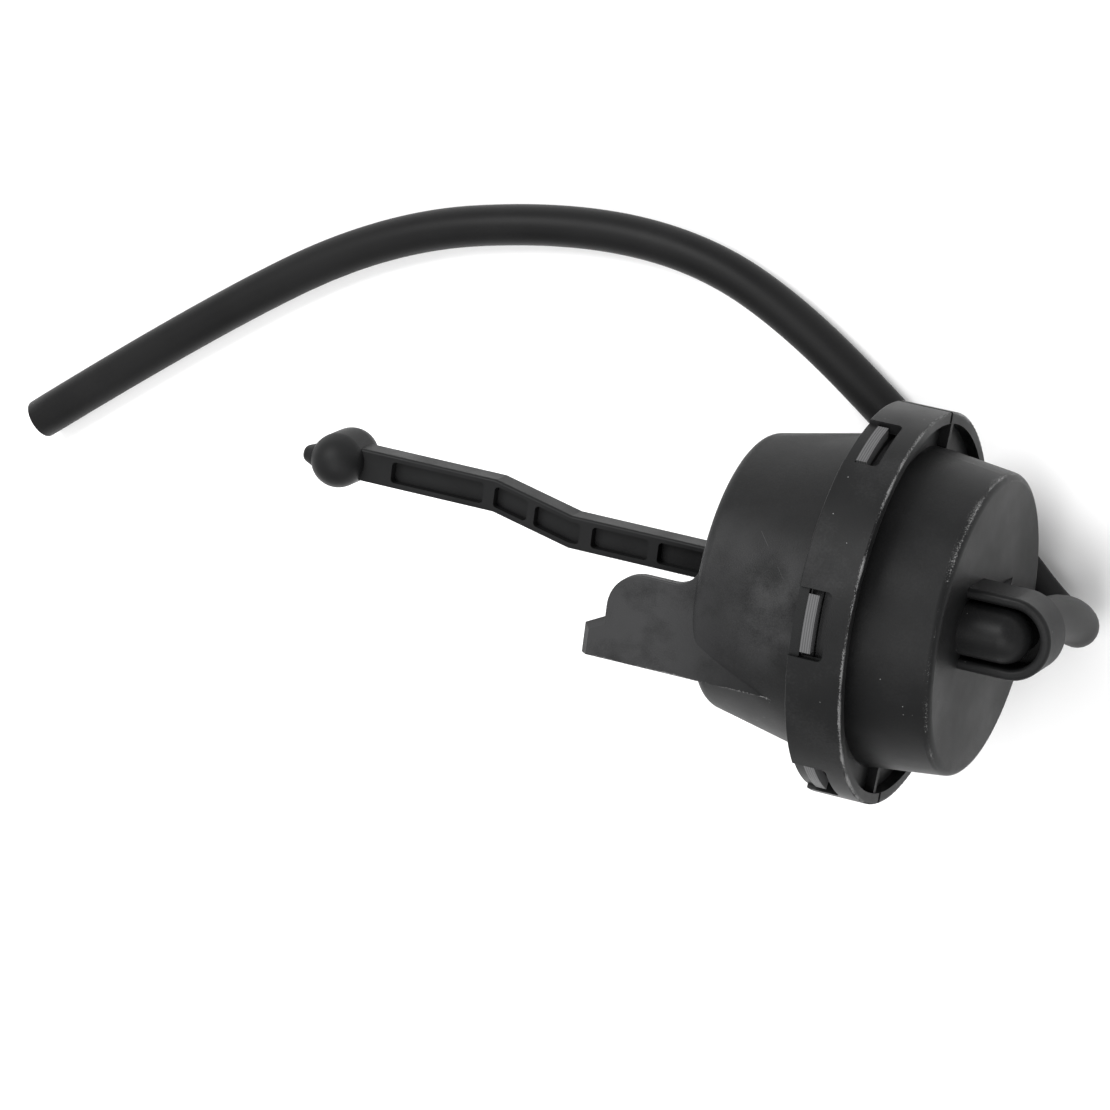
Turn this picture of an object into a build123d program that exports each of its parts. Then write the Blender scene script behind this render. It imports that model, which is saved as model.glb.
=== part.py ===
from build123d import *
import os
from math import cos, pi, radians, sin, sqrt, tan

# Vacuum diaphragm actuator with a hose and a pull link. Millimetres.
# The model is drawn with the origin on the actuator's axis at the skirt's rear rim, +X along the
# axis towards the hose port and +Z out of the bracket plate. Each piece is then moved so that the
# origin is the middle of the bracket plate's outer face.

# ---------------------------------------------------------------- driving dimensions
cap_base_r = 28.0         # cap where it leaves the web, outside
cap_taper = 1.5           # the cap's face is this much smaller in radius
cap_length = 13.0         # cap face, behind the skirt's rear rim
cap_wall = 1.8
cap_fillet = 1.5
skirt_gap = 4.5           # open recess between cap and skirt
skirt_wall = 2.0
skirt_depth = 10.0        # the skirt runs from its rear rim to this far forwards
skirt_round = 0.35
web_rear = 2.1            # rear face of the web that joins skirt and cap, inside the rim
web_thick = 1.6

window_count = 6
window_first = 25.0       # degrees from +Y towards +Z
window_span = 20.0        # degrees
window_bridge = 1.75      # skirt left in front of each window
window_length = 4.45
window_round = 1.0
bridge_step = 0.8         # the bridge is this much lower than the skirt
slit_width = 1.0
slit_angle = -8.0
gusset_thick = 1.2
gusset_offset = -4.0      # degrees from each slit

bead_thick = 2.5          # diaphragm bead, clamped between flange and web
bead_width = 4.0
bead_gap = 1.3            # bead to skirt, radial
flange_thick = 2.0
flange_gap = 0.45         # flange rim to skirt, radial
tooth_stand = 2.0         # snap teeth above the flange rim
tooth_span = 17.0         # degrees
tooth_clear = 0.1

cup_length = 32.0         # closed end of the front cup, ahead of the rear rim
cup_room = 1.4            # diaphragm sleeve to the cup's closed end, radial
cup_flare = 5.0           # the mouth is this much larger in radius than the end
cup_wall = 1.8
cup_fillet = 2.6
slot_gap_y = 1.2          # link to slot at the limits of swing and stroke
slot_gap_z = 1.35

plate_inset = 1.1         # bracket plate's outer face, inside the cup's end radius
plate_thick = 1.8
plate_low_y = -14.7
lobe_top_y = 1.3
plate_root_reach = 5.9    # the plate runs into the cup, up to this far ahead of the flange
lobe_reach = 15.6         # beyond the cup's end
lobe_round = 6.5
root_round = 4.6
root_set = 0.6            # the root's round runs out this far behind the cup's end
tab_reach = 19.4
tab_width = 5.3
tab_rise = 2.0            # its upper edge climbs this much on the way to the lobe
tab_chamfer = 1.2
edge_round = 0.3
rail_depth = 9.0
rail_thick = 1.8

hose_r = 3.75
hose_bore_r = 1.75
port_stand = 8.5          # centre of the hose port, behind the cap's face
port_y = 2.3
hood_gap = 1.55           # hose to the hood's inner wall, seen along Z
hood_wall = 1.9
hood_floor = 1.3
hood_round = 0.8
hood_top = 13.4
hood_mouth = 5.1
elbow_r = 4.7
elbow_foot_set = 0.4      # the elbow's foot is this far short of the port's centre
elbow_foot_inset = 0.75   # the foot is narrower than the bar by this and the set
elbow_set = 1.3           # the elbow's domed nose is this far short of the port's centre
elbow_z = 11.8
bleed_z = 10.0
bleed_r = 0.9
nipple_reach = 6.2
rib_thick = 1.4
rib_gap = 0.25            # rib to the hose, along the axis
rib_drop = 21.0
rib_y = 4.0               # outer side of the rib, from the port's centre
filter_r = 2.5
filter_thick = 1.0
hose_clear = 0.45         # skirt to the level on which the loose hose lies

stroke = 10.0
swing = 5.0               # degrees each way
fold_room = 6.3           # piston to cap, radial, where the diaphragm rolls
piston_rest = 8.0         # piston's front face, from the outside of the cup's end
piston_base = 2.0
piston_length = 18.0
piston_wall = 1.8
sleeve_gap = 0.1
rubber = 0.9
fold_gap = 0.3            # fold to the cap's inside, radial
fold_x = 3.0              # straight part of the fold ends here, ahead of the rear rim
plate_disc_width = 7.7
plate_disc_thick = 1.0
ring_thick = 1.4
ring_gap = 0.1            # retaining ring to the boss, radial
stop_gap = 0.3
stop_inset = 0.3          # stop ring inside the piston's outer wall
stop_wall = 1.2
pad_thick = 1.0
bumper_gap = 0.35
bumper_set = 2.6          # bumper's inner edge, beyond the slot's half width
bumper_width = 6.0

ball_set = 7.0            # inner ball's centre, behind the piston's front face
ball_r = 4.8
ball_gap = 0.08
lip_set = 2.2             # socket lip, ahead of the ball's centre
socket_wall = 2.32
socket_crown = 1.4
socket_hole_gap = 0.1
socket_flange = 2.3
socket_flange_thick = 1.2
mouth_wall = 1.0          # socket wall left at the mouth's open end
mouth_step = 0.6          # the mouth is this much narrower at the piston
lip_relief = 0.05

spring_r = 13.0
spring_wire_r = 0.7
spring_turns = 6
spring_gap = 0.1
seat_thick = 0.8
seat_margin = 1.3         # the seat reaches this far inside the spring
seat_cover = 1.76         # and covers at least this much of the filter, radial
seat_gap = 2.4            # seat to the stop ring, radial
boss_gap = 1.0            # boss to the spring, radial
boss_width = 1.4
boss_height = 2.5

link_length = 92.3        # inner ball to outer knob
link_width = 5.9
link_thick = 5.1
link_wall = 1.05
link_web = 1.2
link_round = 0.5
link_offset = 3.3         # the outer end lies this far to +Y of the axis
link_bend = (47.0, 62.0)  # the cranked stretch, from the inner ball
neck_r = 2.4
neck_length = 9.6
pockets = [(82.0, 64.1), (62.0, 55.4), (54.0, 45.1), (42.8, 32.0), (30.2, 21.0), (19.2, 12.6)]
pocket_round = 0.7
knob_r = 4.9
knob_thick = 5.5
nub_r = 1.25
nub_root_r = 2.5
nub_reach = 1.7
nub_sink = 1.2            # the nub starts this deep in the knob
nub_round = 1.0

overlap = 0.5             # depth by which joined solids of one piece run into each other
origin_reach = 10.0       # middle of the bracket plate's face, beyond the cup's end
origin_y = -7.0

# ---------------------------------------------------------------- places worked out
skirt_in_r = cap_base_r + skirt_gap
skirt_r = skirt_in_r + skirt_wall
cap_face_r = cap_base_r - cap_taper
cap_web_r = cap_base_r + cap_taper / cap_length * web_rear
cap_inner_face = cap_length - cap_wall
web_x1 = -web_rear
web_x0 = web_x1 - web_thick
flange_x1 = web_x0 - bead_thick
flange_x0 = flange_x1 - flange_thick
flange_r = skirt_in_r - flange_gap
bead_outer_r = skirt_in_r - bead_gap
bead_inner_r = bead_outer_r - bead_width
window_x0 = -skirt_depth + window_bridge
window_x1 = window_x0 + window_length

piston_r = cap_base_r - cap_wall - fold_room
piston_x0 = -cup_length + piston_rest
piston_x1 = piston_x0 + piston_length
stop_x = piston_x1 + stroke + stop_gap
stop_r1 = piston_r - stop_inset
stop_r0 = stop_r1 - stop_wall
cup_end = -cup_length
cup_end_r = piston_r + sleeve_gap + rubber + cup_room + cup_wall
cup_mouth_r = cup_end_r + cup_flare
plate_top = cup_end_r - plate_inset
lobe_end = cup_end - lobe_reach
tab_end = cup_end - tab_reach
plate_root = flange_x0 - plate_root_reach

ball_x = piston_x0 + ball_set
ball_space_r = ball_r + ball_gap
socket_r = ball_space_r + socket_wall
socket_hole_r = socket_r + socket_hole_gap
socket_flange_x = piston_x0 - rubber - plate_disc_thick
socket_front = socket_flange_x - socket_flange_thick
spring_in_r = spring_r - spring_wire_r
boss_r1 = spring_in_r - boss_gap
boss_r0 = boss_r1 - boss_width
slot_half_y = link_width / 2 + (ball_x + stroke - cup_end) * tan(radians(swing)) + slot_gap_y
slot_half_z = link_thick / 2 + slot_gap_z
bumper_r0 = slot_half_y + bumper_set
hood_in_r = hose_r + hood_gap
hood_r = hood_in_r + hood_wall
port_x = cap_length + port_stand
elbow_x = port_x - elbow_set
cap_x0 = cap_inner_face + overlap
filter_reach = sqrt(port_y ** 2 + bleed_z ** 2) + filter_r
seat_r0 = min(spring_in_r - seat_margin, filter_reach - seat_cover)
seat_r1 = stop_r0 - seat_gap
rib_x1 = port_x - hose_r - rib_gap
lie_z = -(skirt_r + hose_clear + hose_r)
origin = (cup_end - origin_reach, origin_y, plate_top)

# Route of the hose, from the port to its cut end, chosen by hand. It hangs from the port, turns
# under the skirt and lies on one level from there on.
hose_points = [
    (port_x, port_y, hood_mouth),
    (port_x, port_y, -6.5),
    (port_x, port_y - 3.2, lie_z + 17.9),
    (port_x - 0.7, port_y - 8.1, lie_z + 7.5),
    (port_x - 8.3, port_y - 8.3, lie_z),
    (1.6, 4.6, lie_z),
    (-16.0, 18.4, lie_z),
    (-41.6, 36.3, lie_z),
    (-62.7, 44.8, lie_z),
    (-89.2, 44.8, lie_z),
    (-123.2, 36.1, lie_z),
    (-157.8, 12.3, lie_z),
    (-189.5, -13.9, lie_z),
]

os.makedirs("parts", exist_ok=True)


def save(piece, name):
    """Move a finished piece into the part's frame and write its STEP file."""
    placed = Pos(-origin[0], -origin[1], -origin[2]) * piece
    placed.label = name
    export_step(placed, f"parts/{name}.step")


def turned(corners):
    """Solid of revolution about the axis, from (x, radius) corners."""
    return revolve(make_face(Polyline(*corners, close=True)), Axis.X)


def ring(x0, x1, r0, r1):
    """Plain ring about the axis."""
    return turned([(x0, r0), (x1, r0), (x1, r1), (x0, r1)])


def disc(x0, x1, r):
    """Plain disc about the axis."""
    return Pos((x0 + x1) / 2, 0, 0) * Rot(0, 90, 0) * Cylinder(r, x1 - x0)


def block(x0, x1, y0, y1, z0, z1):
    """Box between two corners."""
    return Pos((x0 + x1) / 2, (y0 + y1) / 2, (z0 + z1) / 2) * Box(x1 - x0, y1 - y0, z1 - z0)


def sector(x0, x1, r0, r1, middle, span):
    """Piece of a ring, centred on an angle measured from +Y towards +Z."""
    face = make_face(Polyline((x0, r0), (x1, r0), (x1, r1), (x0, r1), close=True))
    return Rot(middle - span / 2, 0, 0) * revolve(face, Axis.X, span)


def window_angles():
    return [window_first + i * 360 / window_count for i in range(window_count)]


# ---------------------------------------------------------------- front housing
def bracket_plate():
    """Flat bracket: a lobe with one large round, and a tab chamfered round its end."""
    y_tab = plate_low_y + tab_width
    y_lobe = y_tab + tab_rise
    root_x = cup_end + root_set
    root_y = lobe_top_y + root_round
    lobe_sag = lobe_round * (1 - cos(radians(45)))
    root_sag = root_round * (1 - cos(radians(45)))
    edge = [
        Line((plate_root, plate_low_y), (tab_end, plate_low_y)),
        Line((tab_end, plate_low_y), (tab_end, y_tab)),
        Line((tab_end, y_tab), (lobe_end, y_lobe)),
        Line((lobe_end, y_lobe), (lobe_end, lobe_top_y - lobe_round)),
        ThreePointArc(
            (lobe_end, lobe_top_y - lobe_round),
            (lobe_end + lobe_sag, lobe_top_y - lobe_sag),
            (lobe_end + lobe_round, lobe_top_y),
        ),
        Line((lobe_end + lobe_round, lobe_top_y), (root_x - root_round, lobe_top_y)),
        ThreePointArc(
            (root_x - root_round, lobe_top_y),
            (root_x - root_sag, lobe_top_y + root_sag),
            (root_x, root_y),
        ),
        Line((root_x, root_y), (plate_root, root_y)),
        Line((plate_root, root_y), (plate_root, plate_low_y)),
    ]
    plate = Pos(0, 0, plate_top - plate_thick) * extrude(make_face(edge), plate_thick)
    near = 0.1
    tab_edges = [e for e in plate.faces().sort_by(Axis.Z)[-1].edges() if e.center().X < lobe_end - near]
    tab_edges = [e for e in tab_edges if e.center().Y > plate_low_y + near]
    plate = chamfer(tab_edges, tab_chamfer)
    lobe_edges = [e for e in plate.faces().sort_by(Axis.Z)[-1].edges() if e.center().Y > y_lobe]
    lobe_edges = [e for e in lobe_edges if lobe_end - near < e.center().X < cup_end]
    return fillet(lobe_edges, edge_round)


def front_housing():
    outside = turned([
        (cup_end, 0), (cup_end, cup_end_r), (flange_x0, cup_mouth_r), (flange_x0, flange_r),
        (flange_x1, flange_r), (flange_x1, 0),
    ])
    end_edge = outside.edges().filter_by(GeomType.CIRCLE).sort_by(Axis.X)[0]
    outside = fillet(end_edge, cup_fillet)
    rail_y1 = plate_low_y + rail_thick
    rail_z1 = plate_top - plate_thick / 2
    rail = block(tab_end + tab_chamfer, flange_x0, plate_low_y, rail_y1, plate_top - rail_depth, rail_z1)
    body = outside + bracket_plate() + rail
    cavity = turned([
        (cup_end + cup_wall, 0), (cup_end + cup_wall, cup_end_r - cup_wall),
        (flange_x1 + 1, cup_mouth_r - cup_wall), (flange_x1 + 1, 0),
    ])
    slot_x = (cup_end - 1, cup_end + cup_wall + 1)
    slot = block(*slot_x, -slot_half_y, slot_half_y, -slot_half_z, slot_half_z)
    body = body - cavity - slot
    tooth_x0 = flange_x0 + tooth_clear
    for angle in window_angles():
        body = body + sector(tooth_x0, flange_x1, flange_r - 1, flange_r + tooth_stand, angle, tooth_span)
    return body


# ---------------------------------------------------------------- vacuum cover
def window_cut(angle):
    """Rectangular window with two rounded corners, cut radially."""
    half = skirt_r * sin(radians(window_span / 2))
    cut = block(window_x0, window_x1, skirt_in_r - overlap, skirt_r + 2, -half, half)
    corners = cut.edges().filter_by(Axis.Y).group_by(Axis.X)[-1]
    return Rot(angle, 0, 0) * fillet(corners, window_round)


def port_shape(r, x0, z0, z1):
    """Stadium seen along Z: straight sides from the cap face to a round nose at the port."""
    nose = Pos(port_x, port_y, (z0 + z1) / 2) * Cylinder(r, z1 - z0)
    return nose + block(x0, port_x, port_y - r, port_y + r, z0, z1)


def hood():
    """Hood with a floor round the elbow, and a rib under one side that runs down the cap's face."""
    shell = port_shape(hood_r, cap_x0, hood_mouth, hood_top)
    shell = shell - port_shape(hood_in_r, cap_length, hood_mouth - 1, hood_top + 1)
    outer_rim = shell.faces().sort_by(Axis.Z)[-1].edges()
    shell = fillet([e for e in outer_rim if e.center().X > cap_length + overlap], hood_round)
    shell = shell + port_shape(hood_in_r + overlap, cap_x0, hood_mouth, hood_mouth + hood_floor)
    rib_z1 = hood_mouth + 1
    rib_edge = [(cap_x0, hood_mouth - rib_drop), (cap_x0, rib_z1), (rib_x1, rib_z1), (rib_x1, hood_mouth)]
    rib = Rot(90, 0, 0) * extrude(make_face(Polyline(*rib_edge, close=True)), rib_thick)
    return shell + Pos(0, port_y + rib_y, 0) * rib


def elbow():
    """Round bar from the cap face, a domed nose, a foot in the hood's floor and a nipple."""
    bar_x = (cap_x0 + elbow_x) / 2
    bar = Pos(bar_x, port_y, elbow_z) * Rot(0, 90, 0) * Cylinder(elbow_r, elbow_x - cap_x0)
    nose = Pos(elbow_x, port_y, elbow_z) * Sphere(elbow_r)
    foot_r = elbow_r - elbow_foot_set - elbow_foot_inset
    foot_z = (hood_mouth + elbow_z) / 2
    foot = Pos(port_x - elbow_foot_set, port_y, foot_z) * Cylinder(foot_r, elbow_z - hood_mouth)
    nipple_z1 = hood_mouth + 1
    nipple_z0 = hood_mouth - nipple_reach
    nipple = Pos(port_x, port_y, (nipple_z0 + nipple_z1) / 2) * Cylinder(hose_bore_r, nipple_z1 - nipple_z0)
    return bar + nose + foot + nipple


def vacuum_cover():
    shell = turned([
        (cap_length, 0), (cap_length, cap_face_r), (web_x1, cap_web_r), (web_x1, skirt_in_r),
        (0, skirt_in_r), (0, skirt_r), (-skirt_depth, skirt_r), (-skirt_depth, skirt_in_r),
        (web_x0, skirt_in_r), (web_x0, cap_web_r - cap_wall), (cap_inner_face, cap_face_r - cap_wall),
        (cap_inner_face, 0),
    ])
    circles = shell.edges().filter_by(GeomType.CIRCLE)
    shell = fillet([e for e in circles if abs(e.center().X - cap_length) < 0.01], cap_fillet)
    circles = shell.edges().filter_by(GeomType.CIRCLE)
    shell = fillet([e for e in circles if abs(e.radius - skirt_r) < 0.01], skirt_round)
    shell = shell + ring(stop_x + pad_thick, cap_x0, stop_r0, stop_r1)
    half = gusset_thick / 2
    gusset = block(web_x1 - overlap, -skirt_round, cap_base_r - 1, skirt_in_r + overlap, -half, half)
    slit = block(-skirt_depth - 1, 1, skirt_in_r, skirt_r + 1, -slit_width / 2, slit_width / 2)
    for angle in (slit_angle, slit_angle + 180):
        shell = shell + Rot(angle + gusset_offset, 0, 0) * gusset
    low_r = skirt_r - bridge_step
    for angle in window_angles():
        low_bridge = sector(-skirt_depth - 1, window_x0 + overlap, low_r, skirt_r + 1, angle, window_span)
        shell = shell - window_cut(angle) - low_bridge
    for angle in (slit_angle, slit_angle + 180):
        shell = shell - Rot(angle, 0, 0) * slit
    shell = shell + hood() + elbow()
    along_x0 = cap_inner_face - 1
    along_x = (along_x0 + port_x) / 2
    along = Pos(along_x, port_y, bleed_z) * Rot(0, 90, 0) * Cylinder(bleed_r, port_x - along_x0)
    down_z0 = hood_mouth - nipple_reach - 1
    down = Pos(port_x, port_y, (bleed_z + down_z0) / 2) * Cylinder(bleed_r, bleed_z - down_z0)
    return shell - along - down - port_filter()


def port_filter():
    """Porous disc pressed into the cover behind the port."""
    x = cap_inner_face + filter_thick / 2
    return Pos(x, port_y, bleed_z) * Rot(0, 90, 0) * Cylinder(filter_r, filter_thick)


# ---------------------------------------------------------------- diaphragm and piston
def diaphragm():
    """Top-hat rubber diaphragm: head, sleeve round the piston, rolled fold, and outer bead."""
    head_x = piston_x0
    sleeve_in = piston_r + sleeve_gap
    sleeve_out = sleeve_in + rubber
    bead_x0 = flange_x1
    outer_r = cap_web_r - cap_wall - fold_gap
    middle = (sleeve_in + outer_r) / 2
    big = (outer_r - sleeve_in) / 2
    small = big - rubber
    fold = -fold_x
    lip_x = web_x0 - rubber
    edge = [
        Line((head_x, socket_hole_r), (head_x, sleeve_in)),
        Line((head_x, sleeve_in), (fold, sleeve_in)),
        ThreePointArc((fold, sleeve_in), (fold + big, middle), (fold, outer_r)),
        Line((fold, outer_r), (web_x0, outer_r)),
        Line((web_x0, outer_r), (web_x0, bead_outer_r)),
        Line((web_x0, bead_outer_r), (flange_x1, bead_outer_r)),
        Line((flange_x1, bead_outer_r), (flange_x1, bead_inner_r)),
        Line((flange_x1, bead_inner_r), (lip_x, bead_inner_r)),
        Line((lip_x, bead_inner_r), (lip_x, outer_r - rubber)),
        Line((lip_x, outer_r - rubber), (fold, outer_r - rubber)),
        ThreePointArc((fold, outer_r - rubber), (fold + small, middle), (fold, sleeve_out)),
        Line((fold, sleeve_out), (head_x - rubber, sleeve_out)),
        Line((head_x - rubber, sleeve_out), (head_x - rubber, socket_hole_r)),
        Line((head_x - rubber, socket_hole_r), (head_x, socket_hole_r)),
    ]
    return revolve(make_face(edge), Axis.X)


def piston_cup():
    base = ring(piston_x0, piston_x0 + piston_base, socket_hole_r, piston_r)
    wall = ring(piston_x0, piston_x1, piston_r - piston_wall, piston_r)
    boss = ring(piston_x0, piston_x0 + piston_base + boss_height, boss_r0, boss_r1)
    return base + wall + boss


def diaphragm_plate():
    """Washer that spreads the socket's clamping over the diaphragm's head."""
    return ring(socket_flange_x, piston_x0 - rubber, socket_hole_r, socket_hole_r + plate_disc_width)


def link_socket():
    """Snap socket for the link's inner ball; its flange clamps the diaphragm to the piston."""
    rear = ball_x + ball_space_r + socket_crown
    flange = disc(socket_front, socket_flange_x, socket_r + socket_flange)
    body = flange + disc(socket_front, rear, socket_r)
    lip_x = ball_x - lip_set
    lip_r = sqrt(ball_space_r ** 2 - lip_set ** 2) - lip_relief
    mouth_r = socket_r - mouth_wall
    mouth = turned([
        (socket_front - 1, 0), (socket_front - 1, mouth_r), (piston_x0 + overlap, mouth_r - mouth_step),
        (lip_x, lip_r), (lip_x + 1, lip_r), (lip_x + 1, 0),
    ])
    return body - Pos(ball_x, 0, 0) * Sphere(ball_space_r) - mouth


def socket_ring():
    """Push-on ring that locks the socket to the piston."""
    x0 = piston_x0 + piston_base
    return ring(x0, x0 + ring_thick, socket_r, boss_r0 - ring_gap)


def rest_bumper():
    """Rubber pad that the socket's flange comes to rest near."""
    return ring(cup_end + cup_wall, socket_front - bumper_gap, bumper_r0, bumper_r0 + bumper_width)


def stop_pad():
    """Rubber ring on the cover's stop, met at full vacuum."""
    return ring(stop_x, stop_x + pad_thick, stop_r0, stop_r1)


def spring_seat():
    """Washer under the spring's rear end, inside the stop ring. It also keeps the filter in."""
    return ring(cap_inner_face - seat_thick, cap_inner_face, seat_r0, seat_r1)


def return_spring():
    start = piston_x0 + piston_base + spring_gap + spring_wire_r
    end = cap_inner_face - seat_thick - spring_gap - spring_wire_r
    path = Helix((end - start) / spring_turns, end - start, spring_r)
    section = Plane(path @ 0, z_dir=path % 0) * Circle(spring_wire_r)
    return Pos(start, 0, 0) * Rot(0, 90, 0) * sweep(section, path=path)


# ---------------------------------------------------------------- pull link
def centre_y(x):
    """Middle of the link in Y at x, level at both ends and cranked between."""
    along = (ball_x - x - link_bend[0]) / (link_bend[1] - link_bend[0])
    return link_offset * min(max(along, 0.0), 1.0)


def link_stretch(x0, x1, half, z0, z1, corner=0.0):
    """Bar of the link from x0 to x1, half this wide to each side of its middle line."""
    stations = [ball_x - at for at in reversed(link_bend) if x0 < ball_x - at < x1]
    xs = [x0] + stations + [x1]
    low = [(x, centre_y(x) - half) for x in xs]
    high = [(x, centre_y(x) + half) for x in reversed(xs)]
    solid = Pos(0, 0, z0) * extrude(make_face(Polyline(*low, *high, close=True)), z1 - z0)
    if corner:
        upright = solid.edges().filter_by(Axis.Z)
        solid = fillet([e for e in upright if min(abs(e.center().X - x) for x in (x0, x1)) < 0.01], corner)
    return solid


def link_arm():
    """Cranked bar with pockets on both faces, a ball for the socket and a domed knob."""
    half = link_width / 2
    top = link_thick / 2
    knob_x = ball_x - link_length
    bar_end = ball_x - neck_length
    bar = link_stretch(knob_x, bar_end, half, -top, top)
    long_edges = [e for e in bar.edges() if e.length > 2 * link_width]
    bar = fillet(long_edges, link_round)
    for far, near in pockets:
        for side in (1, -1):
            z0, z1 = sorted((side * link_web / 2, side * (top + 1)))
            bar = bar - link_stretch(ball_x - far, ball_x - near, half - link_wall, z0, z1, pocket_round)
    neck = disc(bar_end - 1, ball_x, neck_r)
    inner_ball = Pos(ball_x, 0, 0) * Sphere(ball_r)
    knob = Pos(knob_x, link_offset, 0) * Cylinder(knob_r, knob_thick)
    for z in (-knob_thick / 2, knob_thick / 2):
        knob = knob + Pos(knob_x, link_offset, z) * Sphere(knob_r)
    nub_tall = nub_reach + nub_sink
    nub_x = knob_x - knob_r - nub_reach + nub_tall / 2
    nub = Pos(nub_x, link_offset, knob_thick / 2) * Rot(0, -90, 0) * Cone(nub_root_r, nub_r, nub_tall)
    nub = fillet(nub.edges().filter_by(GeomType.CIRCLE).sort_by(Axis.X)[0], nub_round)
    return bar + neck + inner_ball + knob + nub


# ---------------------------------------------------------------- hose
def hose():
    """Round hose along straight runs joined by tangent arcs, as large as their runs allow."""
    points = [Vector(*p) for p in hose_points]
    radii = []
    for a, b, c in zip(points, points[1:], points[2:]):
        turn = (b - a).get_angle(c - b)
        run = min((b - a).length, (c - b).length)
        radii.append(0.45 * run / tan(radians(turn / 2)))
    path = FilletPolyline(*points, radius=radii)
    start = Plane(points[0], z_dir=points[1] - points[0])
    section = start * (Circle(hose_r) - Circle(hose_bore_r))
    tube = sweep(section, path=path)
    ideal = pi * (hose_r ** 2 - hose_bore_r ** 2) * path.length
    print("hose radii", [round(r, 1) for r in radii])
    print("hose length", round(path.length, 1), "volume ratio", round(tube.volume / ideal, 4))
    return tube


# ---------------------------------------------------------------- export
save(front_housing(), "front_housing")
save(vacuum_cover(), "vacuum_cover")
save(port_filter(), "port_filter")
save(diaphragm(), "diaphragm")
save(piston_cup(), "piston_cup")
save(diaphragm_plate(), "diaphragm_plate")
save(link_socket(), "link_socket")
save(socket_ring(), "socket_ring")
save(rest_bumper(), "rest_bumper")
save(stop_pad(), "stop_pad")
save(spring_seat(), "spring_seat")
save(return_spring(), "return_spring")
save(link_arm(), "link_arm")
save(hose(), "hose")
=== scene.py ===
import bmesh
import bpy
from math import pi, radians
from mathutils import Matrix, Vector


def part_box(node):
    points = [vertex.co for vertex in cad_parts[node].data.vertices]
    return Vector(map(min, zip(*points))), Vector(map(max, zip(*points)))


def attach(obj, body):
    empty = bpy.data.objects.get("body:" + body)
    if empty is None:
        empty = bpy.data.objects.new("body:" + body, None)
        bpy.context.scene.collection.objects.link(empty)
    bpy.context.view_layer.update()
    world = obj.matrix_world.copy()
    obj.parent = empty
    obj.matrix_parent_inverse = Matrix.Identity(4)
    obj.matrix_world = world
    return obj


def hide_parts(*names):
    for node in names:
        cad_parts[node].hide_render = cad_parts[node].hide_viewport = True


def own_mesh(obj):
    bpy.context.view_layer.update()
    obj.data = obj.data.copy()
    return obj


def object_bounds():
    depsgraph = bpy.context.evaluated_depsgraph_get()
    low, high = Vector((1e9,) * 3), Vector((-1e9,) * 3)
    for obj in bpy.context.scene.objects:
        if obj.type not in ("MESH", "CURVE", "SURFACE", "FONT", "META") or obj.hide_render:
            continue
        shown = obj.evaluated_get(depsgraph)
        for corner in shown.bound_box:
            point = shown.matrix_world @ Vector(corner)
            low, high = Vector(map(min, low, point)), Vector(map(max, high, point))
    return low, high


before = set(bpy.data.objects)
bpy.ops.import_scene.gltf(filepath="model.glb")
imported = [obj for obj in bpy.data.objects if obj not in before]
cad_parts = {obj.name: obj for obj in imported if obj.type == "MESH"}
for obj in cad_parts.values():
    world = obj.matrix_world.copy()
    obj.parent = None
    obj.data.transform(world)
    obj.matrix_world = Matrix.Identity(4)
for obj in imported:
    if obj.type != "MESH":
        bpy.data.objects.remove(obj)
cad_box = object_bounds()

# ---------------------------------------------------------------- camera
# A long lens looks down on the actuator from the port side, over the bracket's face. The centre is
# the point on its axis at the skirt's rear rim: the socket ring gives the axis, and the filter's
# inner face lies one step from the rim, towards the port.
MM = 0.001
filter_step = 11.2 * MM
ring_low, ring_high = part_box("socket_ring")
axis_y = (ring_low.y + ring_high.y) / 2
axis_z = (ring_low.z + ring_high.z) / 2
rim_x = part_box("port_filter")[0].x - filter_step
centre = Vector((rim_x, axis_y, axis_z))
camera_data = bpy.data.cameras.new("camera")
camera_data.lens = 194.6
camera_data.sensor_width = 36.0
camera_data.clip_end = 10.0
camera = bpy.data.objects.new("camera", camera_data)
bpy.context.scene.collection.objects.link(camera)
look = Vector((-0.35302, -0.26260, -0.89802)).normalized()
right = Vector((0.91061, 0.12404, -0.39424)).normalized()
up = right.cross(look)
camera_offset = Vector((305.1, 271.5, 946.9)) * MM
turn = Matrix((right, up, -look)).transposed().to_4x4()
camera.matrix_world = Matrix.Translation(centre + camera_offset) @ turn
bpy.context.scene.camera = camera
# The plain transform keeps the white background white.
bpy.context.scene.view_settings.view_transform = "Standard"

# ---------------------------------------------------------------- hose
# Soft black rubber hose, 7.5 mm outside and 3.5 mm inside, pushed on the port's nipple. It comes out
# of the hood, drops to the surface in one tight bend and lies there in a loose arc to its cut end.
hose_radius = 3.75 * MM
hose_wall = 2.0 * MM
hose_route = [
    (21.5, 2.3, 5.1),
    (21.5, 2.3, -6.5),
    (21.5, -0.9, -20.8),
    (20.8, -5.8, -31.2),
    (13.2, -6.0, -38.7),
    (1.6, 4.6, -38.7),
    (-16.0, 18.4, -38.7),
    (-41.6, 36.3, -38.7),
    (-62.7, 44.8, -38.7),
    (-89.2, 44.8, -38.7),
    (-123.2, 36.1, -38.7),
    (-157.8, 12.3, -38.7),
    (-189.5, -13.9, -38.7),
]
hose_points = [centre + Vector(p) * MM for p in hose_route]


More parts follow.
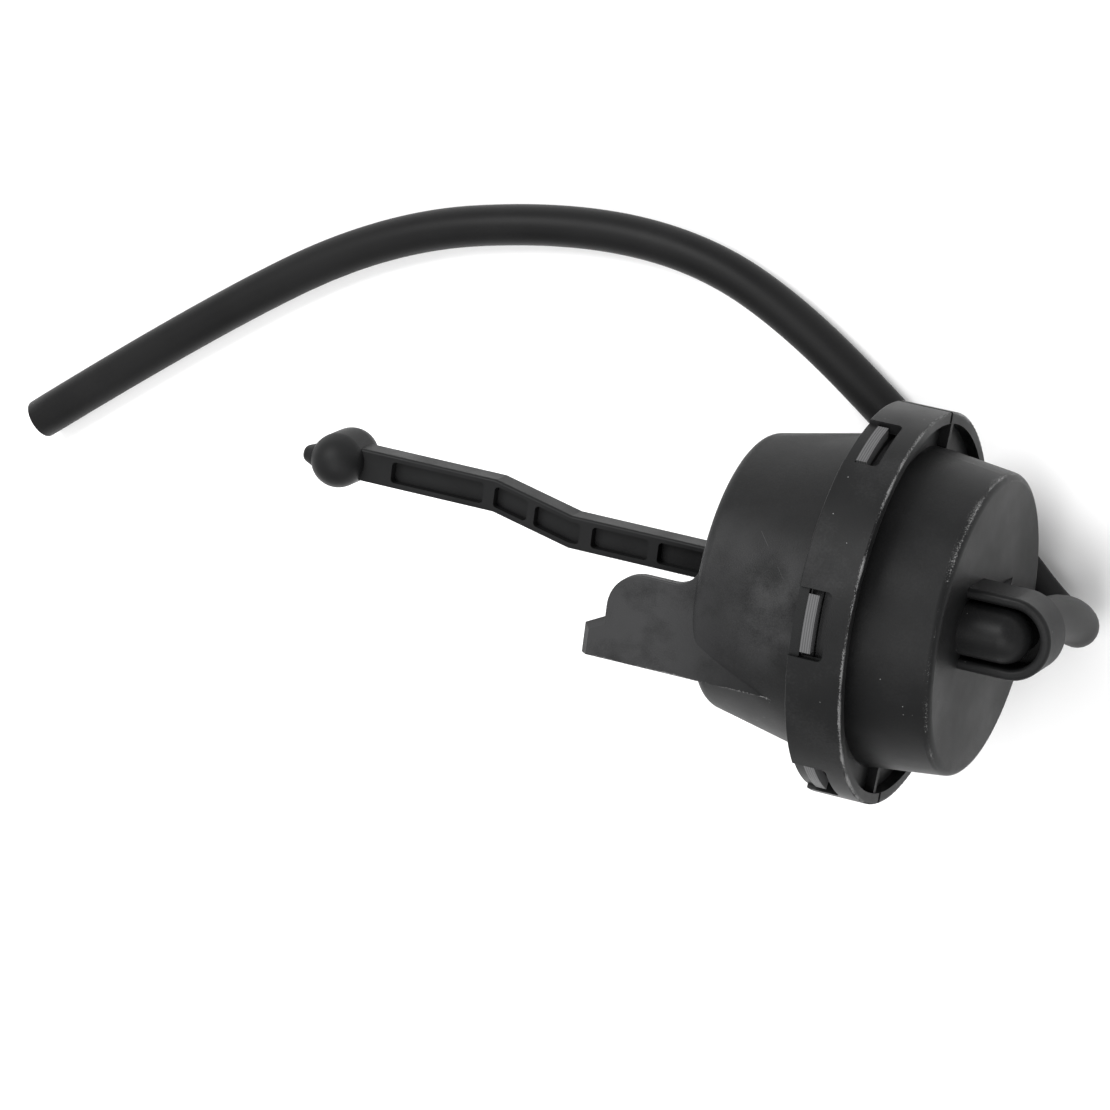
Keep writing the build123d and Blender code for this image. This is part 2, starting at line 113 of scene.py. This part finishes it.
def hose_line(name, points, bevel):
    """One open NURBS spline of order 3 through the route's control points."""
    data = bpy.data.curves.new(name, "CURVE")
    data.dimensions = "3D"
    data.resolution_u = 16
    data.bevel_depth = bevel
    data.bevel_resolution = 10
    spline = data.splines.new("NURBS")
    spline.points.add(len(points) - 1)
    for place, point in zip(points, spline.points):
        point.co = (*place, 1.0)
    spline.order_u = 3
    spline.use_endpoint_u = True
    return bpy.data.objects.new(name, data)


def as_mesh(curve):
    """Mesh of a curve, as its spline runs."""
    bpy.context.scene.collection.objects.link(curve)
    bpy.context.view_layer.update()
    graph = bpy.context.evaluated_depsgraph_get()
    mesh = bpy.data.meshes.new_from_object(curve.evaluated_get(graph))
    bpy.data.objects.remove(curve)
    return mesh


hose_path = [v.co.copy() for v in as_mesh(hose_line("hose_path", hose_points, 0.0)).vertices]
hose_mesh = as_mesh(hose_line("hose_skin", hose_points, hose_radius))
hose_mesh.name = "rubber_hose"
hose = bpy.data.objects.new("rubber_hose", hose_mesh)
bpy.context.scene.collection.objects.link(hose)
for face in hose_mesh.polygons:
    face.use_smooth = True
hollow = hose.modifiers.new("bore", "SOLIDIFY")
hollow.thickness = hose_wall
hollow.offset = -1.0
hollow.use_rim = True
cut = hose.modifiers.new("cut_edge", "BEVEL")
cut.width = 0.12 * MM
cut.segments = 2
cut.limit_method = "ANGLE"
cut.angle_limit = radians(60)


def node(tree, kind, settings=None, **sockets):
    """Add one node. A socket's value is a constant, or another node's output to link."""
    made = tree.nodes.new(kind)
    for name, value in (settings or {}).items():
        setattr(made, name, value)
    for name, value in sockets.items():
        key = int(name[1:]) if name[0] == "i" and name[1:].isdigit() else name.replace("_", " ")
        if isinstance(value, bpy.types.NodeSocket):
            tree.links.new(value, made.inputs[key])
        else:
            made.inputs[key].default_value = value
    return made


def maths(tree, operation, a, b=0.0, clamp=False):
    """Arithmetic on two values."""
    made = node(tree, "ShaderNodeMath", {"operation": operation, "use_clamp": clamp}, i0=a, i1=b)
    return made.outputs[0]


def spread(tree, value, low, high, out_low=0.0, out_high=1.0):
    """Stretch a value from one range to another, clamped."""
    made = node(tree, "ShaderNodeMapRange", {}, Value=value, From_Min=low, From_Max=high,
                To_Min=out_low, To_Max=out_high)
    return made.outputs[0]


def tint(tree, mask, under, over):
    """Colour that goes from under to over where the mask is."""
    made = node(tree, "ShaderNodeMix", {"data_type": "RGBA"}, i0=mask, i6=under, i7=over)
    return made.outputs[2]


def effect(name, inputs, outputs):
    """Empty node group with a position input, named value inputs, and value outputs."""
    group = bpy.data.node_groups.new(name, "ShaderNodeTree")
    group.interface.new_socket("Position", in_out="INPUT", socket_type="NodeSocketVector")
    for label, value in inputs.items():
        socket = group.interface.new_socket(label, in_out="INPUT", socket_type="NodeSocketFloat")
        socket.default_value = value
    for label in outputs:
        group.interface.new_socket(label, in_out="OUTPUT", socket_type="NodeSocketFloat")
    start = group.nodes.new("NodeGroupInput")
    return group, start, group.nodes.new("NodeGroupOutput")


# Effect: fine moulded or rubbed grain, with a slow change of tone across the surface.
# The sizes of every effect are in millimetres.
grain_group, g_in, g_out = effect(
    "surface_grain", {"Size": 0.3, "Patch Size": 14.0}, ["Height", "Tone"])
g_scale = maths(grain_group, "DIVIDE", 1000.0, g_in.outputs["Size"])
g_patch = maths(grain_group, "DIVIDE", 1000.0, g_in.outputs["Patch Size"])
g_fine = node(grain_group, "ShaderNodeTexNoise", {}, Vector=g_in.outputs["Position"],
              Scale=g_scale, Detail=3.0, Roughness=0.6)
g_slow = node(grain_group, "ShaderNodeTexNoise", {}, Vector=g_in.outputs["Position"],
              Scale=g_patch, Detail=4.0, Roughness=0.55)
grain_group.links.new(g_fine.outputs[0], g_out.inputs["Height"])
grain_group.links.new(spread(grain_group, g_slow.outputs[0], 0.3, 0.7), g_out.inputs["Tone"])

# Effect: sparse pale dust specks.
dust_group, d_in, d_out = effect(
    "dust_specks", {"Spacing": 2.5, "Speck Size": 0.1, "Share": 0.2}, ["Mask"])
d_scale = maths(dust_group, "DIVIDE", 1000.0, d_in.outputs["Spacing"])
d_cells = node(dust_group, "ShaderNodeTexVoronoi", {}, Vector=d_in.outputs["Position"],
               Scale=d_scale)
d_limit = maths(dust_group, "DIVIDE", d_in.outputs["Speck Size"], d_in.outputs["Spacing"])
d_near = maths(dust_group, "LESS_THAN", d_cells.outputs["Distance"], d_limit)
d_random = node(dust_group, "ShaderNodeSeparateColor", {}, Color=d_cells.outputs["Color"])
d_chosen = maths(dust_group, "LESS_THAN", d_random.outputs[0], d_in.outputs["Share"])
dust_group.links.new(maths(dust_group, "MULTIPLY", d_near, d_chosen), d_out.inputs["Mask"])

# Effect: hair scratches, a noise stretched along one way and cut to a thin band.
scratch_group, s_in, s_out = effect(
    "hair_scratches", {"Length": 9.0, "Width": 0.12, "Share": 0.5}, ["Mask"])
s_long = maths(scratch_group, "DIVIDE", 1000.0, s_in.outputs["Length"])
s_wide = maths(scratch_group, "DIVIDE", 1000.0, s_in.outputs["Width"])
s_stretch = node(scratch_group, "ShaderNodeCombineXYZ", {}, X=s_long, Y=s_wide, Z=s_long)
s_turned = node(scratch_group, "ShaderNodeMapping", {"vector_type": "POINT"},
                Vector=s_in.outputs["Position"], Rotation=(0.7, 0.4, 0.9))
s_place = node(scratch_group, "ShaderNodeVectorMath", {"operation": "MULTIPLY"},
               i0=s_turned.outputs[0], i1=s_stretch.outputs[0])
s_noise = node(scratch_group, "ShaderNodeTexNoise", {}, Vector=s_place.outputs[0], Scale=0.35, Detail=1.0)
s_band = spread(scratch_group, s_noise.outputs[0], 0.72, 0.78)
s_patch = node(scratch_group, "ShaderNodeTexNoise", {}, Vector=s_in.outputs["Position"],
               Scale=90.0, Detail=2.0)
s_where = maths(scratch_group, "LESS_THAN", s_patch.outputs[0], s_in.outputs["Share"])
scratch_group.links.new(maths(scratch_group, "MULTIPLY", s_band, s_where), s_out.inputs["Mask"])

# Effect: painted highlight along an edge, broken into a whitened speckle like wear, full at distance
# nought and gone at the width.
edge_highlight_group, c_in, c_out = effect(
    "edge_highlight_speckle", {"Distance": 1.0, "Width": 0.5, "Speckle": 0.35, "Amount": 0.5}, ["Mask"])
c_scale = maths(edge_highlight_group, "DIVIDE", 1000.0, c_in.outputs["Speckle"])
c_noise = node(edge_highlight_group, "ShaderNodeTexNoise", {}, Vector=c_in.outputs["Position"],
               Scale=c_scale, Detail=4.0, Roughness=0.75)
c_broken = node(edge_highlight_group, "ShaderNodeTexNoise", {}, Vector=c_in.outputs["Position"],
                Scale=130.0, Detail=2.0)
c_share = maths(edge_highlight_group, "DIVIDE", c_in.outputs["Distance"], c_in.outputs["Width"])
c_fade = maths(edge_highlight_group, "SUBTRACT", 1.0, c_share, clamp=True)
c_level = maths(edge_highlight_group, "MULTIPLY", c_fade, c_in.outputs["Amount"])
c_runs = spread(edge_highlight_group, c_broken.outputs[0], 0.3, 0.65, 0.35, 1.0)
c_run = maths(edge_highlight_group, "MULTIPLY", c_level, c_runs)
c_cut = maths(edge_highlight_group, "SUBTRACT", 0.82, maths(edge_highlight_group, "MULTIPLY", c_run, 0.5))
c_mask = spread(edge_highlight_group, maths(edge_highlight_group, "SUBTRACT", c_noise.outputs[0], c_cut), 0.0, 0.06)
c_inside = maths(edge_highlight_group, "GREATER_THAN", c_fade, 0.0)
edge_highlight_group.links.new(maths(edge_highlight_group, "MULTIPLY", c_mask, c_inside), c_out.inputs["Mask"])

# Effect: broad rubbed patches with a ragged, grainy edge, where handling has dulled the surface.
rub_group, r_in, r_out = effect("rubbed_patches", {"Size": 16.0, "Grain": 0.8, "Share": 0.4}, ["Mask"])
r_size = maths(rub_group, "DIVIDE", 1000.0, r_in.outputs["Size"])
r_grain = maths(rub_group, "DIVIDE", 1000.0, r_in.outputs["Grain"])
r_broad = node(rub_group, "ShaderNodeTexNoise", {}, Vector=r_in.outputs["Position"],
               Scale=r_size, Detail=3.0, Roughness=0.55)
r_fine = node(rub_group, "ShaderNodeTexNoise", {}, Vector=r_in.outputs["Position"],
              Scale=r_grain, Detail=4.0, Roughness=0.8)
r_ragged = maths(rub_group, "MULTIPLY", r_fine.outputs[0], 0.6)
r_mixed = maths(rub_group, "ADD", r_broad.outputs[0], r_ragged)
r_limit = maths(rub_group, "SUBTRACT", 0.98, maths(rub_group, "MULTIPLY", r_in.outputs["Share"], 0.5))
r_over = maths(rub_group, "SUBTRACT", r_mixed, r_limit)
rub_group.links.new(spread(rub_group, r_over, 0.0, 0.35), r_out.inputs["Mask"])


class Finish:
    """A material that starts with centred object coordinates and a Principled shader."""

    def __init__(self, name, **constants):
        self.material = bpy.data.materials.new(name)
        self.material.use_nodes = True
        self.tree = self.material.node_tree
        self.shader = self.tree.nodes["Principled BSDF"]
        for label, value in constants.items():
            self.shader.inputs[label.replace("_", " ")].default_value = value
        place = node(self.tree, "ShaderNodeTexCoord")
        shift = node(self.tree, "ShaderNodeMapping", {}, Vector=place.outputs["Object"],
                     Location=tuple(-centre))
        self.position = shift.outputs[0]
        apart = node(self.tree, "ShaderNodeSeparateXYZ", {}, Vector=self.position)
        self.x, self.y, self.z = apart.outputs[0], apart.outputs[1], apart.outputs[2]
        round_y = maths(self.tree, "MULTIPLY", self.y, self.y)
        round_z = maths(self.tree, "MULTIPLY", self.z, self.z)
        self.radius = maths(self.tree, "SQRT", maths(self.tree, "ADD", round_y, round_z))

    def use(self, group, output, **sockets):
        """Place an effect with its own values and return one of its outputs."""
        made = node(self.tree, "ShaderNodeGroup", {"node_tree": group}, Position=self.position,
                    **sockets)
        return made.outputs[output]

    def near(self, value, target):
        """Distance of a value in metres from a target, in millimetres."""
        away = maths(self.tree, "ABSOLUTE", maths(self.tree, "SUBTRACT", value, target))
        return maths(self.tree, "MULTIPLY", away, 1000.0)

    def larger(self, a, b):
        """The larger of two values."""
        return maths(self.tree, "MAXIMUM", a, b)

    def bump(self, height, distance, strength):
        """Raise the surface by a height map."""
        made = node(self.tree, "ShaderNodeBump", {}, Height=height, Distance=distance, Strength=strength)
        self.tree.links.new(made.outputs[0], self.shader.inputs["Normal"])

    def colour(self, value):
        """Drive the base colour."""
        self.tree.links.new(value, self.shader.inputs["Base Color"])

    def rough(self, value):
        """Drive the roughness."""
        self.tree.links.new(value, self.shader.inputs["Roughness"])


rubber_dark = (0.0055, 0.0055, 0.0057, 1.0)
rubber_light = (0.0088, 0.0088, 0.009, 1.0)
rubber_rubbed = (0.015, 0.015, 0.0152, 1.0)
speck_grey = (0.1, 0.1, 0.1, 1.0)
rub_strength = 0.4
rubber = Finish("hose_rubber", Specular_IOR_Level=0.11)
tone = rubber.use(grain_group, "Tone", Size=0.25, Patch_Size=30.0)
fine = rubber.use(grain_group, "Height", Size=0.22, Patch_Size=30.0)
dust = rubber.use(dust_group, "Mask", Spacing=3.4, Speck_Size=0.07, Share=0.14)
rubbed = rubber.use(rub_group, "Mask", Size=22.0, Grain=0.5, Share=0.3)
rubbed = maths(rubber.tree, "MULTIPLY", rubbed, rub_strength)
shade = tint(rubber.tree, tone, rubber_dark, rubber_light)
shade = tint(rubber.tree, rubbed, shade, rubber_rubbed)
rubber.colour(tint(rubber.tree, dust, shade, speck_grey))
rubber.rough(spread(rubber.tree, tone, 0.0, 1.0, 0.42, 0.54))
rubber.bump(fine, distance=0.04 * MM, strength=0.5)
hose_mesh.materials.append(rubber.material)

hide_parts("hose")
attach(hose, "housing")


def dress(name, finish):
    """Give a CAD piece its material."""
    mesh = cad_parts[name].data
    mesh.materials.clear()
    mesh.materials.append(finish.material)
    for face in mesh.polygons:
        face.material_index = 0


# ---------------------------------------------------------------- front housing
# Injection-moulded glass-filled nylon cup, black, with its bracket plate, rail and snap teeth in one
# piece. The teeth's pale grey is a painted sheen, and the rail's low edge and the cup's rounded end carry
# a painted highlight, broken into a white speckle like wear.
flange_radius = 32.15 * MM
tooth_line_pitch = 0.42 * MM
rail_edge_y = -14.7 * MM
plate_face_z = 23.0 * MM
cup_round_x = -29.6 * MM
sheen_smudge_x = -17.0 * MM
sheen_smudge_y = 2.0 * MM
nylon_dark = (0.0062, 0.0063, 0.0065, 1.0)
nylon_light = (0.0108, 0.011, 0.0113, 1.0)
nylon_rubbed = (0.022, 0.022, 0.0225, 1.0)
sheen_smudge_grey = (0.06, 0.06, 0.061, 1.0)
plate_reflection_grey = (0.036, 0.036, 0.037, 1.0)
# Tooth greys: a painted sheen on the teeth, with painted shade between their fine ribs.
tooth_rib_shade_grey = (0.055, 0.055, 0.056, 1.0)
tooth_sheen_grey = (0.1, 0.1, 0.102, 1.0)
# Pale grey of dust specks and hair scratches, and of the painted edge highlights.
mark_and_highlight_grey = (0.16, 0.16, 0.16, 1.0)
hair_strength = 0.12
housing = Finish("housing_plastic", Specular_IOR_Level=0.11)
tone = housing.use(grain_group, "Tone", Size=0.3, Patch_Size=18.0)
fine = housing.use(grain_group, "Height", Size=0.28, Patch_Size=18.0)
dust = housing.use(dust_group, "Mask", Spacing=2.0, Speck_Size=0.1, Share=0.26)
hairs = housing.use(scratch_group, "Mask", Length=7.0, Width=0.14, Share=0.36)
rubbed = housing.use(rub_group, "Mask", Size=20.0, Grain=0.6, Share=0.42)
# Painted highlights along the rail's low edge and the cup's rounded end, broken into a speckle like wear.
off_face = housing.near(housing.z, plate_face_z)
off_rail = housing.larger(housing.near(housing.y, rail_edge_y), off_face)
rail = housing.use(edge_highlight_group, "Mask", Distance=off_rail, Width=0.6, Speckle=0.22, Amount=1.0)
off_round = housing.near(housing.x, cup_round_x)
lip_highlight = housing.use(edge_highlight_group, "Mask", Distance=off_round, Width=0.5, Speckle=0.22, Amount=0.3)
teeth = maths(housing.tree, "GREATER_THAN", housing.radius, flange_radius)
line_phase = maths(housing.tree, "MULTIPLY", housing.x, 2 * pi / tooth_line_pitch)
lines = maths(housing.tree, "MULTIPLY", maths(housing.tree, "SINE", line_phase), teeth)
rubbed = maths(housing.tree, "MULTIPLY", rubbed, rub_strength)
base = tint(housing.tree, tone, nylon_dark, nylon_light)
base = tint(housing.tree, rubbed, base, nylon_rubbed)

# A paler patch on the cup's upper flank, on the plate's side: a painted sheen highlight, broken up like
# rubbed scuffs.
sheen_smudge = housing.use(rub_group, "Mask", Size=6.0, Grain=0.3, Share=0.75)
off_flank = spread(housing.tree, housing.near(housing.x, sheen_smudge_x), 3.0, 10.0)
on_flank = maths(housing.tree, "SUBTRACT", 1.0, off_flank)
on_top = spread(housing.tree, housing.z, 12.0 * MM, 22.0 * MM)
off_side = spread(housing.tree, housing.near(housing.y, sheen_smudge_y), 4.0, 13.0)
on_side = maths(housing.tree, "SUBTRACT", 1.0, off_side)
patch = maths(housing.tree, "MULTIPLY", on_flank, maths(housing.tree, "MULTIPLY", on_top, on_side))
sheen_smudge = maths(housing.tree, "MULTIPLY", sheen_smudge, maths(housing.tree, "MULTIPLY", patch, 0.4))
base = tint(housing.tree, sheen_smudge, base, sheen_smudge_grey)

# The plate's face is lighter grey beyond the cup: a painted reflection of the top light, broken into
# cloudy rubbed scuffs.
beyond_cup = spread(housing.tree, housing.x, -38.0 * MM, -18.0 * MM, 1.0, 0.0)
at_face = spread(housing.tree, housing.z, 19.0 * MM, 22.5 * MM)
on_plate = maths(housing.tree, "MULTIPLY", beyond_cup, at_face)
plate_reflection_rub = housing.use(rub_group, "Mask", Size=7.0, Grain=0.25, Share=1.0)
plate_reflection_rub = maths(housing.tree, "MULTIPLY", on_plate, maths(housing.tree, "MULTIPLY", plate_reflection_rub, 0.75))
base = tint(housing.tree, plate_reflection_rub, base, plate_reflection_grey)

# The teeth are painted paler as a sheen, with painted light and shade across their fine lines.
rib_shade_share = spread(housing.tree, lines, -1.0, 1.0)
tooth_sheen_and_rib_shade = tint(housing.tree, rib_shade_share, tooth_rib_shade_grey, tooth_sheen_grey)
base_with_tooth_sheen = tint(housing.tree, teeth, base, tooth_sheen_and_rib_shade)
# Dust specks and hair scratches are real marks; the edge speckle is painted highlight.
dust_and_highlights = housing.larger(dust, housing.larger(rail, lip_highlight))
marks_and_highlights = housing.larger(maths(housing.tree, "MULTIPLY", hairs, hair_strength), dust_and_highlights)
housing.colour(tint(housing.tree, marks_and_highlights, base_with_tooth_sheen, mark_and_highlight_grey))
housing.rough(spread(housing.tree, tone, 0.0, 1.0, 0.38, 0.55))
height = maths(housing.tree, "ADD", fine, maths(housing.tree, "MULTIPLY", lines, 0.5))
housing.bump(height, distance=0.06 * MM, strength=0.5)
dress("front_housing", housing)

# ---------------------------------------------------------------- vacuum cover
# One black moulding: cap, web, slit and windowed snap skirt, hood and elbow. The skirt's rear rim and
# the cap's rounded edge carry a painted highlight, broken into a fine white speckle like handling wear.
skirt_radius = 34.5 * MM
cap_edge_radius = 26.1 * MM
cap_face_x = 13.0 * MM
cap_round_x = cap_face_x - 0.9 * MM
inside_skirt = 0.3 * MM
cover_dark = (0.0055, 0.0056, 0.0058, 1.0)
cover_light = (0.0095, 0.0097, 0.01, 1.0)
cover_rubbed = (0.024, 0.024, 0.0245, 1.0)
cover = Finish("cover_plastic", Specular_IOR_Level=0.11)
tone = cover.use(grain_group, "Tone", Size=0.3, Patch_Size=16.0)
fine = cover.use(grain_group, "Height", Size=0.26, Patch_Size=16.0)
dust = cover.use(dust_group, "Mask", Spacing=2.0, Speck_Size=0.1, Share=0.26)
hairs = cover.use(scratch_group, "Mask", Length=6.0, Width=0.13, Share=0.38)
rubbed = cover.use(rub_group, "Mask", Size=13.0, Grain=0.5, Share=0.4)
# Painted highlights along the skirt's rear rim and the cap's rounded edge, broken into a speckle like
# wear.
off_skirt = maths(cover.tree, "MULTIPLY", cover.near(cover.radius, skirt_radius), 0.5)
off_rim = cover.larger(cover.near(cover.x, 0.0), off_skirt)
off_edge = cover.near(cover.radius, cap_edge_radius)
off_cap = cover.larger(cover.near(cover.x, cap_round_x), off_edge)
rim_highlight = cover.use(edge_highlight_group, "Mask", Distance=off_rim, Width=0.8, Speckle=0.2, Amount=1.15)
cap_highlight = cover.use(edge_highlight_group, "Mask", Distance=off_cap, Width=1.0, Speckle=0.2, Amount=1.05)
on_skirt = maths(cover.tree, "GREATER_THAN", cover.radius, skirt_radius - inside_skirt)
rub_share = spread(cover.tree, on_skirt, 0.0, 1.0, 0.3, 0.75)
skirt_rub = maths(cover.tree, "MULTIPLY", rubbed, rub_share)
base = tint(cover.tree, tone, cover_dark, cover_light)
base = tint(cover.tree, skirt_rub, base, cover_rubbed)
dust_and_highlights = cover.larger(dust, cover.larger(rim_highlight, cap_highlight))
marks_and_highlights = cover.larger(maths(cover.tree, "MULTIPLY", hairs, hair_strength), dust_and_highlights)
cover.colour(tint(cover.tree, marks_and_highlights, base, mark_and_highlight_grey))
cover.rough(spread(cover.tree, tone, 0.0, 1.0, 0.38, 0.55))
cover.bump(fine, distance=0.05 * MM, strength=0.5)
dress("vacuum_cover", cover)

# ---------------------------------------------------------------- pull link
# Black moulded acetal: a flat cranked bar with six pockets on each face, a ball that snaps into the
# socket at its inner end, and a domed knob at its outer end. It is smooth from the mould.
link_dark = (0.006, 0.0061, 0.0063, 1.0)
link_light = (0.0095, 0.0097, 0.01, 1.0)
acetal = Finish("link_plastic", Specular_IOR_Level=0.11)
tone = acetal.use(grain_group, "Tone", Size=0.25, Patch_Size=10.0)
fine = acetal.use(grain_group, "Height", Size=0.24, Patch_Size=10.0)
dust = acetal.use(dust_group, "Mask", Spacing=3.0, Speck_Size=0.1, Share=0.14)
base = tint(acetal.tree, tone, link_dark, link_light)
acetal.colour(tint(acetal.tree, dust, base, speck_grey))
acetal.rough(spread(acetal.tree, tone, 0.0, 1.0, 0.38, 0.52))
acetal.bump(fine, distance=0.03 * MM, strength=0.4)
dress("link_arm", acetal)

# ---------------------------------------------------------------- diaphragm, bumper and stop pad
# Moulded dull black rubber with cloth in it, whose weave just shows through. The diaphragm's bead is
# clamped between the mouldings and its head on the piston, so it shortens as the piston moves.
weave_scale = 420.0
fabric_dark = (0.012, 0.012, 0.0125, 1.0)
fabric_light = (0.026, 0.026, 0.027, 1.0)
fabric_rubber = Finish("diaphragm_rubber", Specular_IOR_Level=0.3)
tone = fabric_rubber.use(grain_group, "Tone", Size=0.4, Patch_Size=8.0)
threads_x = node(fabric_rubber.tree, "ShaderNodeTexWave", {"bands_direction": "X"},
                 Vector=fabric_rubber.position, Scale=weave_scale, Distortion=0.4)
threads_z = node(fabric_rubber.tree, "ShaderNodeTexWave", {"bands_direction": "Z"},
                 Vector=fabric_rubber.position, Scale=weave_scale, Distortion=0.4)
weave = maths(fabric_rubber.tree, "MULTIPLY", threads_x.outputs["Fac"], threads_z.outputs["Fac"])
fabric_rubber.colour(tint(fabric_rubber.tree, tone, fabric_dark, fabric_light))
fabric_rubber.rough(spread(fabric_rubber.tree, tone, 0.0, 1.0, 0.66, 0.82))
fabric_rubber.bump(weave, distance=0.05 * MM, strength=0.6)
for name in ("rest_bumper", "stop_pad"):
    dress(name, fabric_rubber)


def shortens(name, finish):
    """Welded copy that stands in for a piece that the piston shortens towards its fixed end; it hides the
    CAD piece and rides with the housing at its full length.
    """
    weld_distance = 0.001 * MM
    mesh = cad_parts[name].data.copy()
    welded = bmesh.new()
    welded.from_mesh(mesh)
    bmesh.ops.remove_doubles(welded, verts=welded.verts, dist=weld_distance)
    welded.to_mesh(mesh)
    welded.free()
    mesh.name = name + "_flexing"
    mesh.materials.clear()
    mesh.materials.append(finish.material)
    for face in mesh.polygons:
        face.material_index = 0
    piece = bpy.data.objects.new(name + "_flexing", mesh)
    bpy.context.scene.collection.objects.link(piece)
    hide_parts(name)
    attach(piece, "housing")
    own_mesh(piece)


shortens("diaphragm", fabric_rubber)

# ---------------------------------------------------------------- piston cup and link socket
# Natural acetal mouldings, off-white and slightly waxy. The socket stands in the piston cup and holds
# the link's ball.
natural_dark = (0.55, 0.53, 0.47, 1.0)
natural_light = (0.66, 0.64, 0.58, 1.0)
natural = Finish("inner_plastic", Specular_IOR_Level=0.5, Subsurface_Weight=0.05)
tone = natural.use(grain_group, "Tone", Size=0.3, Patch_Size=9.0)
fine = natural.use(grain_group, "Height", Size=0.3, Patch_Size=9.0)
natural.colour(tint(natural.tree, tone, natural_dark, natural_light))
natural.rough(spread(natural.tree, tone, 0.0, 1.0, 0.36, 0.5))
natural.bump(fine, distance=0.03 * MM, strength=0.4)
for name in ("piston_cup", "link_socket"):
    dress(name, natural)

# ---------------------------------------------------------------- plate, ring and seat
# Pressed steel, zinc plated, with the faint yellow of its passivation. The plate and the push-on ring
# clamp the diaphragm's head, and the seat lies in the cap under the spring.
zinc_dark = (0.52, 0.49, 0.38, 1.0)
zinc_light = (0.66, 0.65, 0.58, 1.0)
zinc = Finish("plated_steel", Metallic=1.0)
tone = zinc.use(grain_group, "Tone", Size=0.5, Patch_Size=5.0)
fine = zinc.use(grain_group, "Height", Size=0.15, Patch_Size=5.0)
zinc.colour(tint(zinc.tree, tone, zinc_dark, zinc_light))
zinc.rough(spread(zinc.tree, tone, 0.0, 1.0, 0.28, 0.45))
zinc.bump(fine, distance=0.02 * MM, strength=0.4)
for name in ("diaphragm_plate", "socket_ring", "spring_seat"):
    dress(name, zinc)

# ---------------------------------------------------------------- return spring
# Hard-drawn spring wire with light draw lines. It stands between the piston and its seat in the cap,
# and shortens as the piston moves.
wire_dark = (0.33, 0.33, 0.34, 1.0)
wire_light = (0.52, 0.52, 0.53, 1.0)
wire = Finish("spring_steel", Metallic=1.0)
tone = wire.use(grain_group, "Tone", Size=0.5, Patch_Size=4.0)
lines = wire.use(scratch_group, "Mask", Length=6.0, Width=0.05, Share=0.9)
wire.colour(tint(wire.tree, tone, wire_dark, wire_light))
wire.rough(spread(wire.tree, tone, 0.0, 1.0, 0.24, 0.4))
wire.bump(lines, distance=0.02 * MM, strength=0.4)
shortens("return_spring", wire)

# ---------------------------------------------------------------- port filter
# Sintered bronze disc in the pocket behind the port: small fused beads with pores between them, which let
# air through and keep dust out. The colour darkens from each bead's centre into the pores as painted
# shade.
bead_scale = 4200.0
bead_top = (0.55, 0.38, 0.2, 1.0)
pore_shade = (0.08, 0.05, 0.03, 1.0)
bronze = Finish("sintered_bronze", Metallic=1.0)
beads = node(bronze.tree, "ShaderNodeTexVoronoi", {}, Vector=bronze.position, Scale=bead_scale)
bronze.colour(tint(bronze.tree, beads.outputs["Distance"], bead_top, pore_shade))
bronze.rough(spread(bronze.tree, beads.outputs["Distance"], 0.0, 0.8, 0.35, 0.7))
bronze.bump(beads.outputs["Distance"], distance=0.08 * MM, strength=0.8)
dress("port_filter", bronze)

# ---------------------------------------------------------------- floor and light
# A plain white board on which the hose lies, with large soft lights over it and a white room
# around, so that the black plastic shows its edges without hard shadows.
board_size = 3.0
board_dark = (0.93, 0.93, 0.93, 1.0)
board_light = (0.95, 0.95, 0.95, 1.0)
floor_place = Matrix.Translation((0, 0, cad_box[0][2]))
floor_mesh = bpy.data.meshes.new("floor")
board = bmesh.new()
bmesh.ops.create_grid(board, x_segments=1, y_segments=1, size=board_size, matrix=floor_place)
board.to_mesh(floor_mesh)
board.free()
floor = bpy.data.objects.new("floor", floor_mesh)
bpy.context.scene.collection.objects.link(floor)
pale = Finish("pale_floor", Specular_IOR_Level=0.1, Roughness=0.9)
soft_tone = pale.use(grain_group, "Tone", Size=1.0, Patch_Size=80.0)
pale.colour(tint(pale.tree, soft_tone, board_dark, board_light))
floor_mesh.materials.append(pale.material)

world = bpy.data.worlds.new("studio")
bpy.context.scene.world = world
world.use_nodes = True
world.node_tree.nodes["Background"].inputs["Color"].default_value = (1.0, 1.0, 1.0, 1.0)
world.node_tree.nodes["Background"].inputs["Strength"].default_value = 0.72


def soft_light(name, place, size, power):
    """Square area light that faces the actuator. Its place is in metres from the centre."""
    data = bpy.data.lights.new(name, "AREA")
    data.size = size
    data.energy = power
    made = bpy.data.objects.new(name, data)
    bpy.context.scene.collection.objects.link(made)
    made.location = centre + Vector(place)
    made.rotation_euler = (-Vector(place)).to_track_quat("-Z", "Y").to_euler()


soft_light("key", (-0.4, 0.5, 0.75), 0.5, 9.0)
soft_light("side", (0.7, -0.5, 0.6), 0.5, 2.0)
soft_light("top", (0.1, -0.2, 1.1), 0.7, 7.0)
